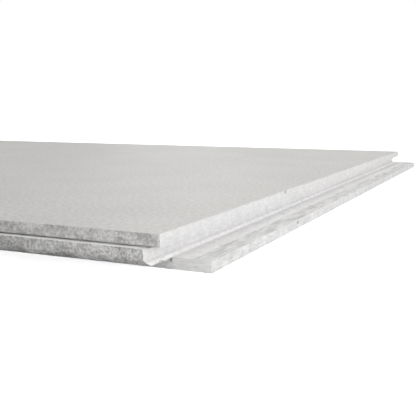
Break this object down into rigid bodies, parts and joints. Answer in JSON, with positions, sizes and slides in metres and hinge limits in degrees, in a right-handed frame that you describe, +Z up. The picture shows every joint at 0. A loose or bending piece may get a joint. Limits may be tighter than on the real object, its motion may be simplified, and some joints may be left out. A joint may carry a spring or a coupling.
{
  "type": "dry screed board",
  "caption": "Flat pressed gypsum-fibre floor board with a stepped tongue and groove milled round its edges, laid dry to make a screed.",
  "frame": {"origin": "middle of the board's outer box, on its underside", "axes": "+X along the length towards a groove edge, +Y across the width towards the other groove edge, +Z up out of the walking side"},
  "size_m": [1.222, 0.622, 0.02],
  "materials": {
    "gypsum_fibre": "matt, smooth pressed faces and lightly fibrous milled edges"
  },
  "bodies": {
    "root": {"board": "gypsum_fibre"}
  },
  "joints": []
}
